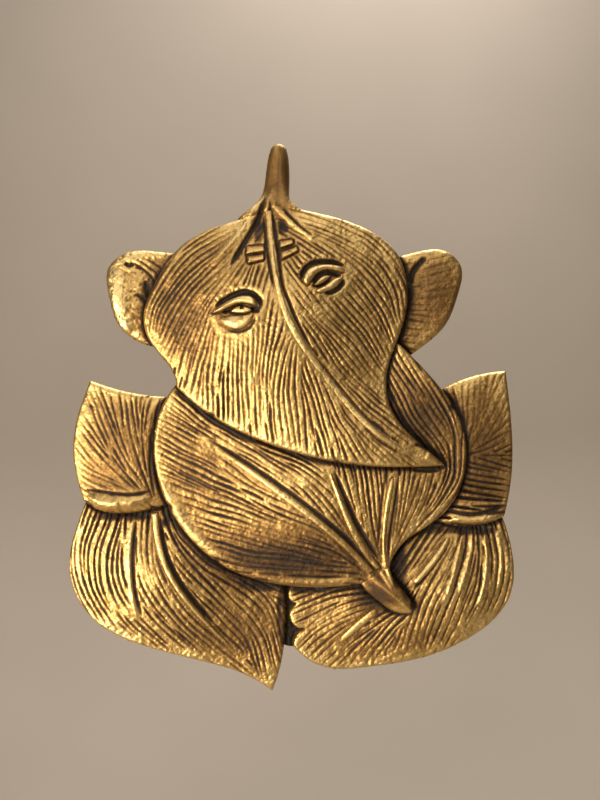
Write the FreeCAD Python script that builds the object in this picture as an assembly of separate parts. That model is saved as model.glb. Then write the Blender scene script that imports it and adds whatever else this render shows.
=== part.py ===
import FreeCAD, Part
import math
import os

# Ganesha wall plaque made of cast brass leaves that overlap like shingles and are brazed together.
# Frame: +X to the viewer's right, +Z up, the wall is the plane Y = 0 and the face looks to -Y.
# "Height" is the distance from the wall, -Y. The origin is where the nail's axis, which passes
# through the middle of the hanging ring, meets the wall. All sizes are in millimetres.

V = FreeCAD.Vector

# Lap heights: the leaf below stops at this height where the leaf above covers it.
LEG_LAP = 3.0
EAR_LAP = 3.0
ARM_LAP = 6.0
STALK_LAP = 5.0
BELLY_LAP = 8.0

# Raised details, as heights above the leaf that carries them.
MIDRIB_RELIEF = 1.2
RIB_RELIEF = 1.0
UPPER_LID_RELIEF = 1.8
EYEBALL_RELIEF = 1.2
LOWER_LID_RELIEF = 1.3
MARK_RELIEF = 0.8

# The casting's back is hollowed out to about this wall thickness.
CAST_WALL = 3.2

# Hanger: a ring that swings in the eye of a lug, inside the hollow of the head.
RING_RADIUS = 7.5
RING_WIRE = 1.0
RING_HEIGHT = 4.0
EYE_RADIUS = 1.35
LUG_RADIUS = 3.0
LUG_THICKNESS = 3.0

# The deepest cut made from the front, well above the highest point of the face.
ABOVE_ALL = 40.0
BEHIND_ALL = 60.0
GRID_STEPS = 14
GRID_MARGIN = 4.0

# A leaf is its outline, as smooth sides that meet at corners, and the shape of its front: a base
# height and mounds, each (x, z, half_width, half_length, turn in degrees, rise).
LEAVES = {
    "head": {
        "sides": [
            [
                (-4, 39.5), (-22, 33.5), (-38.5, 26), (-48, 13),
                (-52.5, 1), (-50, -9), (-43.5, -17), (-40.5, -25),
            ],
            [(-40.5, -25), (-24.5, -37.5), (-4, -46.5), (16, -51.5), (36, -53.3), (55.5, -53)],
            [
                (55.5, -53), (44.5, -43.5), (36, -32), (35, -20), (41, -1.5),
                (42.5, 9), (38, 24), (22, 34), (-4, 39.5),
            ],
        ],
        "base": 7.0,
        "mounds": [(-5, 0, 38, 40, 0, 12), (30, -48, 40, 18, -12, 8)],
    },
    "left_ear": {
        "sides": [
            [
                (-39, 24), (-50, 25), (-61, 24), (-66.5, 19),
                (-66, 8), (-62.5, -2.5), (-57, -7.5), (-47, -10),
            ],
            [(-47, -10), (-41, 0), (-39, 12), (-39, 24)],
        ],
        "base": 4.0,
        "mounds": [(-58, 8, 12, 14, 0, 2.5)],
    },
    "right_ear": {
        "sides": [
            [(34, 23), (46, 24.5), (57, 25), (62.5, 20), (61.5, 9), (57, -2), (50, -9), (43, -14)],
            [(43, -14), (36, -8), (33, 6), (34, 23)],
        ],
        "base": 4.0,
        "mounds": [(52, 9, 12, 15, 0, 2.5)],
    },
    "belly": {
        "sides": [
            [(-39, -22), (-46, -32), (-49, -46), (-43.5, -68), (-26, -88), (-2.5, -96), (25.5, -95.5)],
            [(25.5, -95.5), (36, -89)],
            [(36, -89), (43, -79), (53.5, -72), (62, -60), (62.5, -40), (52.5, -23), (38, -8)],
            [(38, -8), (31, -16), (25, -31), (10, -37.5), (-10, -36), (-39, -22)],
        ],
        "base": 9.0,
        "mounds": [(10, -62, 38, 30, 0, 5)],
    },
    "left_arm": {
        "sides": [
            [(-73, -22.5), (-77, -34), (-79, -46), (-77, -60), (-75, -66)],
            [(-75, -66), (-68, -70), (-56, -70.5), (-42, -67)],
            [(-42, -67), (-38, -58), (-37, -44), (-40, -28.5)],
            [(-40, -28.5), (-55, -27.5), (-73, -22.5)],
        ],
        "base": 4.0,
        "mounds": [(-60, -48, 20, 24, 0, 4), (-62, -66, 16, 5, -3, 2.5)],
    },
    "right_arm": {
        "sides": [
            [(79, -19), (81, -42), (80.5, -60), (78, -72)],
            [(78, -72), (66, -75.5), (48, -71)],
            [(48, -71), (50, -52), (49, -30)],
            [(49, -30), (60, -23.5), (79, -19)],
        ],
        "base": 4.0,
        "mounds": [(64, -48, 20, 24, 0, 4), (66, -71, 14, 5, 0, 2.5)],
    },
    "left_leg": {
        "sides": [
            [
                (-73, -62), (-78, -76), (-80.5, -91), (-73, -108),
                (-52, -119.5), (-31.5, -125.2), (-18, -129.5), (-6.5, -136.5),
            ],
            [(-6.5, -136.5), (-2.5, -122), (-1.5, -108), (-2, -98), (-5, -86)],
            [(-5, -86), (-20, -79), (-33, -66), (-52, -59), (-73, -62)],
        ],
        "base": 4.0,
        "mounds": [(-48, -95, 26, 22, 0, 6)],
    },
    "right_leg": {
        "sides": [
            [
                (76, -68), (80.5, -82), (80, -101), (67, -115),
                (46, -124.3), (30, -127.2), (16, -128), (2.6, -121.2),
            ],
            [(2.6, -121.2), (1.2, -118), (2.2, -115.6), (5, -113.3)],
            [(5, -113.3), (1.4, -112), (-0.3, -108.4), (2.4, -104.2)],
            [(2.4, -104.2), (-0.4, -102.4), (0, -97.5), (4, -87)],
            [(4, -87), (20, -85), (36, -74), (52, -66), (76, -68)],
        ],
        "base": 4.0,
        "mounds": [(54, -98, 28, 20, 0, 6)],
    },
    "head_stalk": {
        "sides": [
            [(-20, 33), (-16.3, 36.9), (-12.2, 40.2), (-10, 44.5), (-8.4, 54), (-6.6, 61.3)],
            [(-6.6, 61.3), (-3.8, 62.7), (-1.3, 61.3)],
            [(-1.3, 61.3), (-0.3, 56), (-0.3, 46), (0.3, 41.6), (3.2, 38.8), (9, 36.5)],
            [(9, 36.5), (-20, 33)],
        ],
        "base": 7.0,
        "mounds": [(-4, 54, 4, 14, 6, 3.5), (-6, 34, 20, 9, 0, 4.8)],
    },
    "belly_stalk": {
        "sides": [
            [(25, -93.4), (26.2, -96.4), (30.8, -100.8), (36.6, -104.9), (43, -105.5)],
            [(43, -105.5), (44.3, -103.6)],
            [(44.3, -103.6), (42, -99.6), (38.4, -95.4), (36.2, -91.4), (35.7, -88)],
            [(35.7, -88), (25, -93.4)],
        ],
        "base": 10.8,
        "mounds": [(38, -98.4, 14, 3.4, -45, 2.2)],
    },
}

# Hollows in the back: (leaf, x, z, half_width, half_length).
HOLLOWS = [
    ("head", -3, 3, 32, 27),
    ("belly", 8, -66, 28, 12),
    ("left_leg", -48, -95, 19, 13),
    ("right_leg", 52, -98, 19, 12),
]

# Ribs: (points along the middle, widths at those points).
HEAD_MIDRIB = (
    [
        (-7.6, 38), (-6.4, 24.5), (-3.9, 9.5), (0.6, -3.2),
        (8.2, -15.2), (18.4, -28.4), (28.8, -39.5), (47, -50),
    ],
    [3.0, 2.2, 2.2, 2.6, 2.6, 2.4, 2.2, 1.2],
)
BELLY_RIBS = [
    (
        [(-31, -44), (-22, -49.6), (-13.9, -55), (3, -67.2), (17.3, -78.9), (29.6, -91.8)],
        [0.8, 1.6, 2.2, 2.6, 2.8, 3.0],
    ),
    ([(13.5, -53.7), (17.9, -65), (22.6, -75.9), (32, -90)], [1.4, 2.2, 2.8, 2.2]),
    ([(36.9, -56.5), (35, -66), (33.7, -76), (33.9, -87.4)], [2.0, 2.2, 1.8, 1.6]),
]
LEFT_LEG_MIDRIB = (
    [(-48.9, -70.4), (-47.2, -81.3), (-43.3, -91.5), (-36, -103), (-28, -112.8), (-17, -124.5)],
    [2.4, 2.4, 2.2, 2.0, 1.8, 1.0],
)
RIGHT_LEG_RIBS = [
    ([(58.4, -78.3), (51.5, -87.5), (43.8, -96.2)], [2.0, 2.8, 2.0]),
    ([(32.4, -104.8), (26.5, -109.8), (17, -119.3)], [2.4, 3.2, 2.0]),
]

# Forehead mark: the corners of each slat.
MARK_SLATS = [
    [(-15.3, 24.6), (-8.9, 25.1), (-8.7, 22.4), (-15.3, 21.5)],
    [(-15.0, 21.1), (-8.8, 21.9), (-8.8, 19.4), (-14.5, 18.1)],
    [(-3.5, 26.4), (1.2, 27.2), (1.4, 25.2), (-3.5, 23.4)],
    [(-3.2, 22.5), (2.6, 24.6), (3.2, 22.7), (-2.7, 19.5)],
]

# The web that joins the two leg leaves below the belly: its corners and its height.
WEB_CORNERS = [(-5, -90), (7, -90), (7, -118), (2.4, -120.6), (-3.4, -119.8)]
WEB_HEIGHT = 2.0

# Eyes, as (upper edge, lower edge) of each piece, both from the outer end to the inner end.
EYES = {
    "left_upper_eyelid": [
        [(-27.5, 0.9), (-24, 3.6), (-17.7, 6.5), (-13.8, 6.6), (-11.2, 3.1)],
        [(-27.5, 0.9), (-22.6, 1.8), (-17.7, 3.9), (-14.3, 3.6), (-11.2, 3.1)],
    ],
    "left_eyeball": [
        [(-20.6, 1.0), (-18.8, 2.9), (-15.6, 3.1), (-12.8, 1.6)],
        [(-20.6, 1.0), (-18.5, 0.6), (-15.6, 0.5), (-12.8, 1.6)],
    ],
    "left_lower_eyelid": [
        [(-26.6, -0.7), (-22.6, -0.1), (-17, 0.0), (-12.3, 0.8)],
        [(-26.6, -0.7), (-22.6, -4.0), (-18, -5.2), (-14.3, -3.7), (-12.3, 0.8)],
    ],
    "right_upper_eyelid": [
        [(6.4, 10.4), (4.7, 12.2), (5.7, 15.2), (8.6, 17.3), (14.8, 18.2), (21.6, 16.5)],
        [(6.4, 10.4), (8.1, 12.6), (9.8, 14.6), (14, 16.1), (18.4, 15.3), (21.6, 16.5)],
    ],
    "right_eyeball": [
        [(8.4, 10.3), (9.9, 12.4), (12.2, 14.1), (14.7, 13.9)],
        [(8.4, 10.3), (10.4, 10.7), (12.6, 12.0), (14.7, 13.9)],
    ],
    "right_lower_eyelid": [
        [(8.5, 9.1), (10.8, 9.7), (13.4, 11.3), (15.6, 13.1), (18.9, 13.8)],
        [(8.5, 9.1), (10.5, 7.9), (13.4, 8.5), (16.9, 10.3), (18.9, 13.8)],
    ],
}
EYE_RELIEF = {
    "upper_eyelid": UPPER_LID_RELIEF,
    "eyeball": EYEBALL_RELIEF,
    "lower_eyelid": LOWER_LID_RELIEF,
}


def side_edge(points):
    """A smooth edge on the wall plane through (x, z) points."""
    corners = [V(x, 0, z) for x, z in points]
    if len(corners) == 2:
        return Part.LineSegment(corners[0], corners[1]).toShape()
    curve = Part.BSplineCurve()
    curve.interpolate(corners)
    return curve.toShape()


def plate(sides, low, high):
    """The flat-ended solid over an outline, from one height above the wall to another."""
    face = Part.Face(Part.Wire([side_edge(points) for points in sides]))
    face.translate(V(0, -low, 0))
    return face.extrude(V(0, low - high, 0))


def height(leaf, x, z):
    """Height of a leaf's front above the wall."""
    total = leaf["base"]
    for middle_x, middle_z, half_width, half_length, turn, rise in leaf["mounds"]:
        angle = math.radians(turn)
        across = (x - middle_x) * math.cos(angle) + (z - middle_z) * math.sin(angle)
        along = (z - middle_z) * math.cos(angle) - (x - middle_x) * math.sin(angle)
        total += rise * math.exp(-(across / half_width) ** 2 - (along / half_length) ** 2)
    return total


def front_face(leaf):
    """The leaf's domed front as one smooth face that reaches a little past its outline."""
    points = [point for side in leaf["sides"] for point in side]
    low_x = min(x for x, z in points) - GRID_MARGIN
    low_z = min(z for x, z in points) - GRID_MARGIN
    step_x = (max(x for x, z in points) + GRID_MARGIN - low_x) / GRID_STEPS
    step_z = (max(z for x, z in points) + GRID_MARGIN - low_z) / GRID_STEPS
    grid = []
    for i in range(GRID_STEPS + 1):
        x = low_x + i * step_x
        column = []
        for j in range(GRID_STEPS + 1):
            z = low_z + j * step_z
            column.append(V(x, -height(leaf, x, z), z))
        grid.append(column)
    surface = Part.BSplineSurface()
    surface.interpolate(grid)
    return surface.toShape()


def leaf_body(leaf):
    """A whole leaf from the wall plane to its domed front."""
    under_front = front_face(leaf).extrude(V(0, BEHIND_ALL, 0))
    return plate(leaf["sides"], 0, ABOVE_ALL).common(under_front)


def over(name, lap):
    """Everything above a lap height inside a leaf's outline."""
    return plate(LEAVES[name]["sides"], lap, ABOVE_ALL)


def under(name, lap):
    """Everything below a lap height inside a leaf's outline."""
    return plate(LEAVES[name]["sides"], 0, lap)


def ellipse_sides(x, z, half_width, half_length):
    """An ellipse as four quarter sides."""
    sides = []
    for quarter in range(4):
        turns = [math.radians(90 * quarter + 22.5 * i) for i in range(5)]
        sides.append([(x + half_width * math.cos(t), z + half_length * math.sin(t)) for t in turns])
    return sides


def hollow(leaf, x, z, half_width, half_length):
    """The hollow behind a leaf's front, open at the wall plane."""
    roof = front_face(leaf)
    roof.translate(V(0, CAST_WALL, 0))
    below_roof = roof.extrude(V(0, BEHIND_ALL, 0))
    opening = plate(ellipse_sides(x, z, half_width, half_length), -1, ABOVE_ALL)
    return opening.common(below_roof)


def band_sides(points, widths):
    """The outline of a band that follows points with a given width at each."""
    left = []
    right = []
    last = len(points) - 1
    for i, (x, z) in enumerate(points):
        before = points[max(i - 1, 0)]
        after = points[min(i + 1, last)]
        run_x = after[0] - before[0]
        run_z = after[1] - before[1]
        length = math.hypot(run_x, run_z)
        side_x = -run_z / length * widths[i] / 2
        side_z = run_x / length * widths[i] / 2
        left.append((x + side_x, z + side_z))
        right.append((x - side_x, z - side_z))
    right.reverse()
    return [left, [left[-1], right[0]], right, [right[-1], left[0]]]


def raised(leaf, sides, relief):
    """A raised detail that sits on a leaf's front."""
    skin = front_face(leaf).extrude(V(0, -relief, 0))
    return plate(sides, 0, ABOVE_ALL).common(skin)


def straight_sides(corners):
    """The straight sides of a polygon."""
    return [list(side) for side in zip(corners, corners[1:] + corners[:1])]


def make_leaves():
    """All leaves, with half laps where one covers another, and their stalks."""
    body = {name: leaf_body(leaf) for name, leaf in LEAVES.items()}
    leaves = {}
    for side in ("left", "right"):
        leg = body[side + "_leg"].cut(over(side + "_arm", LEG_LAP)).cut(over("belly", LEG_LAP))
        leaves[side + "_leg_leaf"] = leg
        arm = body[side + "_arm"].cut(over("belly", ARM_LAP)).cut(under(side + "_leg", LEG_LAP))
        leaves[side + "_arm_leaf"] = arm
        leaves[side + "_ear_leaf"] = body[side + "_ear"].cut(over("head", EAR_LAP))
    leaves["right_ear_leaf"] = leaves["right_ear_leaf"].cut(under("belly", ABOVE_ALL))

    belly = body["belly"].cut(over("head", BELLY_LAP))
    for side in ("left", "right"):
        belly = belly.cut(under(side + "_arm", ARM_LAP)).cut(under(side + "_leg", LEG_LAP))
    leaves["belly_leaf"] = belly

    head = body["head"].cut(under("belly", BELLY_LAP)).cut(under("head_stalk", STALK_LAP))
    for side in ("left", "right"):
        head = head.cut(under(side + "_ear", EAR_LAP))
    leaves["head_leaf"] = head

    leaves["head_stalk"] = body["head_stalk"].cut(over("head", STALK_LAP))
    stalk = body["belly_stalk"].cut(leaves["belly_leaf"]).cut(leaves["right_leg_leaf"])
    leaves["belly_stalk"] = stalk

    web = plate(straight_sides(WEB_CORNERS), 0, WEB_HEIGHT)
    leaves["leg_web"] = web.cut(body["left_leg"]).cut(body["right_leg"]).cut(body["belly"])

    for name, x, z, half_width, half_length in HOLLOWS:
        node = name + "_leaf"
        leaves[node] = leaves[node].cut(hollow(LEAVES[name], x, z, half_width, half_length))
    return leaves


def make_details(belly_stalk):
    """Midribs, ribs, forehead mark and eyes."""
    head = LEAVES["head"]
    details = {"head_midrib": raised(head, band_sides(*HEAD_MIDRIB), MIDRIB_RELIEF)}
    ribs = [raised(LEAVES["belly"], band_sides(*rib), RIB_RELIEF) for rib in BELLY_RIBS]
    details["belly_ribs"] = Part.makeCompound([rib.cut(belly_stalk) for rib in ribs])
    details["left_leg_midrib"] = raised(LEAVES["left_leg"], band_sides(*LEFT_LEG_MIDRIB), RIB_RELIEF)
    ribs = [raised(LEAVES["right_leg"], band_sides(*rib), RIB_RELIEF) for rib in RIGHT_LEG_RIBS]
    details["right_leg_ribs"] = Part.makeCompound(ribs)
    slats = [raised(head, straight_sides(corners), MARK_RELIEF) for corners in MARK_SLATS]
    details["forehead_mark"] = Part.makeCompound(slats)
    for name, (upper, lower) in EYES.items():
        relief = EYE_RELIEF[name.split("_", 1)[1]]
        details[name] = raised(head, [upper, lower[::-1]], relief)
    return details


def make_hanger():
    """The lug on the roof of the head's hollow and the wire ring in its eye."""
    eye = V(0, -RING_HEIGHT, RING_RADIUS)
    half = LUG_THICKNESS / 2
    post_foot = V(-half, -ABOVE_ALL / 2, RING_RADIUS - LUG_RADIUS)
    post = Part.makeBox(LUG_THICKNESS, ABOVE_ALL / 2 - RING_HEIGHT, 2 * LUG_RADIUS, post_foot)
    boss = Part.makeCylinder(LUG_RADIUS, LUG_THICKNESS, eye + V(-half, 0, 0), V(1, 0, 0))
    hole = Part.makeCylinder(EYE_RADIUS, 2 * LUG_THICKNESS, eye - V(LUG_THICKNESS, 0, 0), V(1, 0, 0))
    roof = front_face(LEAVES["head"])
    roof.translate(V(0, CAST_WALL, 0))
    lug = post.fuse(boss).common(roof.extrude(V(0, BEHIND_ALL, 0))).cut(hole)
    ring = Part.makeTorus(RING_RADIUS, RING_WIRE, V(0, -RING_HEIGHT, 0), V(0, 1, 0))
    return {"hanger_lug": lug.removeSplitter(), "hanging_ring": ring}


def main():
    os.makedirs("parts", exist_ok=True)
    pieces = make_leaves()
    pieces.update(make_details(pieces["belly_stalk"]))
    pieces.update(make_hanger())
    for name, shape in pieces.items():
        shape.exportStep("parts/" + name + ".step")
        print(name, len(shape.Solids), round(shape.Volume, 1), shape.isValid())


main()
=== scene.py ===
import math
import random

import bpy
import numpy as np
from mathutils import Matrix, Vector
from mathutils.bvhtree import BVHTree
from mathutils.kdtree import KDTree


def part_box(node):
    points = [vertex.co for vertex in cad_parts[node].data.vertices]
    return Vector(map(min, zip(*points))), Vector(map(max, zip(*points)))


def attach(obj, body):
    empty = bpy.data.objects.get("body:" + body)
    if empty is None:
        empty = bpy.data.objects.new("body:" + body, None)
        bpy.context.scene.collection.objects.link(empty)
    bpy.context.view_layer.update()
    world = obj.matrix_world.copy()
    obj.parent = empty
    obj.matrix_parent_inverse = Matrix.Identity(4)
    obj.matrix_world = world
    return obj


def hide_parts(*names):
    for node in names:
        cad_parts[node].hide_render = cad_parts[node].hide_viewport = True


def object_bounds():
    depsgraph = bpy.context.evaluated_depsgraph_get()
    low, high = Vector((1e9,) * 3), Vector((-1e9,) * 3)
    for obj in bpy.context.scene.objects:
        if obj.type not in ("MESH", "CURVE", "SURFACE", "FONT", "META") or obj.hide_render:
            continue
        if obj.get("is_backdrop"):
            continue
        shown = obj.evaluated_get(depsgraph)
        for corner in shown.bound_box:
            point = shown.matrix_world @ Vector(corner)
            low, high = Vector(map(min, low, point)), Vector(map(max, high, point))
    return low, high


# Ganesha wall plaque in leaf relief. Every leaf is rebuilt as a finely engraved cast skin around its
# CAD node: the node is scanned into height grids, veins and seams are carved, and the grids become a
# closed mesh. Working units are millimetres: x to the viewer's right, z up, height = -y off the wall.

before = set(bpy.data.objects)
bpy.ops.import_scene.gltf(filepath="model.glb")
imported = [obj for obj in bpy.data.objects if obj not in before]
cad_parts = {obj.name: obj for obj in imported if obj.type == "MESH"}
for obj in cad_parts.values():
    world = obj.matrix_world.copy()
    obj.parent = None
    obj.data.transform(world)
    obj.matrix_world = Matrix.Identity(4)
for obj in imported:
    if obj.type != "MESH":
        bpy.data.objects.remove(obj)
CAD_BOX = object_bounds()

MM = 0.001
SEED = 11

# Distance between grid points, and how many cells along and across a hidden or flat area one face has.
LEAF_PITCH = 0.32
DETAIL_PITCH = 0.17
MAP_PITCH = 0.5
BLOCK = 4

# Where scanning rays start, off the wall and behind it, and where they go.
IN_FRONT = 60.0
BEHIND = 60.0
TO_WALL = Vector((0, 1, 0))
FROM_WALL = Vector((0, -1, 0))

# The distance given to points that aren't near what is looked for.
FAR = 1e3

# Half widths of the engraved strokes and of the hair-fine ones between them, the spacing of those, and
# the step between the points of a line.
STROKE_WIDTH = 0.36
HAIR_WIDTH = 0.22
HAIR_SPACING = 1.0
POINT_STEP = 0.3

# A moat is cut round each raised detail, and the strokes stop this clear of the detail.
MOAT_WIDTH = 0.45
CLEARANCE = 0.5

# Depths along a seam, in a shaded place and of pits in the casting, and the thinnest wall left anywhere.
SEAM_DEPTH = 0.8
SHADE_DEPTH = 0.6
PIT_DEPTH = 0.8
THINNEST_WALL = 0.8

# A leaf covers another where it is this much higher. The lower one's engraving runs on a little way
# under it, and further in its front lies just under the CAD's.
COVER_GAP = 0.05
TUCKED = 1.2
HIDDEN_GAP = 0.02

# Layers of noise in the cast surface, each (size of its lumps, height).
LEAF_GRAIN = [(2.6, 0.09), (1.1, 0.10)]
SAND_GRAIN = [(0.7, 0.07)]
SWELL = [(7.0, 0.25)]
DETAIL_GRAIN = [(1.0, 0.06), (2.6, 0.12), (6.0, 0.12)]
BACK_GRAIN = [(3.4, 0.12), (1.5, 0.10)]

# Patina with painted shade runs from 0, bright brass, to 1, black. OPEN_PATINA is what high ground has, and
# ridges and details have WORN_OFF less. Grooves add patina, and dark places add patina and painted shade,
# in full from these depths on.
OPEN_PATINA = 0.20
WORN_OFF = 0.05
GROOVE_PATINA = 0.6
FULL_STROKE = 0.42
FULL_PIT = 0.7
DARK_PATINA_AND_SHADE = 0.85
FULL_CUT = 0.8
FULL_MOAT = 0.8125
FULL_PUPIL = 0.4

# Hollows add patina and painted shade (an occlusion estimate) too, for how far a point lies below its
# surroundings, each (radius of those, patina and shade for each millimetre), within limits.
HOLLOWS = [(1.0, 0.45), (3.0, 0.16)]
LEAST_HOLLOW = -0.15
MOST_HOLLOW = 0.7

# The back's patina with its clouds (size, amount), and the side walls' at the front and at the back.
BACK_PATINA = 0.36
BACK_CLOUDS = [(9.0, 0.14), (2.0, 0.08)]
WALL_PATINA = (0.35, 0.60)

# Lines are lists of (x, z) points. This one is the crease down the middle of the head.
MIDDLE_CREASE = [
    (-7, 42), (-6.6, 37), (-5.4, 32.4), (-4.8, 28), (-3.9, 22),
    (-2.4, 11), (-0.2, 5), (3.2, -3), (9.2, -14),
]

# Grooves and ridges that run from the stalk on to the head, as (line, half width, depth or height).
FORK_CUTS = [
    ([(-8.8, 43), (-9.6, 39.8), (-11, 35), (-13, 31), (-16.5, 24.8), (-20.8, 17.4)], 0.7, 1.0),
    (MIDDLE_CREASE, 0.45, 0.8),
    ([(-2.4, 38.6), (-0.6, 36.4), (2.2, 33.3), (4.6, 31), (8.5, 28)], 0.45, 0.6),
]
FORK_RIMS = [
    ([(-12.4, 39.6), (-14, 35.6), (-16.8, 31.2), (-21.5, 25.2), (-26, 20)], 0.9, 0.5),
    ([(-6.3, 42), (-5, 38.9), (-2.3, 36.5), (0.4, 33.7), (6.4, 28.8), (9.8, 25.4)], 0.8, 0.6),
]

# The ridge that runs from the lowest rib of the belly on to its stalk.
SPUR = ([(24, -86.5), (27.5, -90.4), (30.8, -94.2), (36.2, -98.6), (43.4, -104.6)], 1.0, 0.8)

# The crease over each eye, from which the lashes stand out.
LEFT_CREASE = [(-26.1, 3.2), (-22.6, 5.5), (-18.5, 7.5), (-15.6, 8.1), (-12.6, 7.3), (-10.4, 5)]
RIGHT_CREASE = [(4.1, 12.4), (4.9, 15.3), (6.7, 17.6), (9.4, 18.9), (12.5, 19.2), (16, 18.9), (19.5, 18)]

# What is said about a leaf, and what holds where a leaf doesn't say it. Places are upright ovals, each
# (centre, half width, half height).
PLAIN_LEAF = {
    "veins": [],  # guide lines that the engraved strokes follow
    "spacing": 2.0,  # between those strokes
    "depth": 0.5,  # of those strokes
    "hair": 0.09,  # depth of the hair-fine strokes
    "cuts": [],  # single deep strokes, each (line, half width, depth)
    "rims": [],  # single ridges, each (line, half width, height)
    "lashes": [],  # lines from which short cuts stand out
    "calm": [],  # places where the strokes fade
    "shade": [],  # places that are sunk a little and get painted shade
    "flow": [],  # places where the edge isn't rolled and has no seam, so that it runs on into the next leaf
    "roll": 1.5,  # how wide the rounded edge is
    "rough": 1.0,  # how much casting grain there is
    "sandy": 0.0,  # how much more grain calm places have
    "meets": None,  # the leaf that this one grows from
    "dip": 0.04,  # how far it passes under that leaf's edge
}

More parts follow.
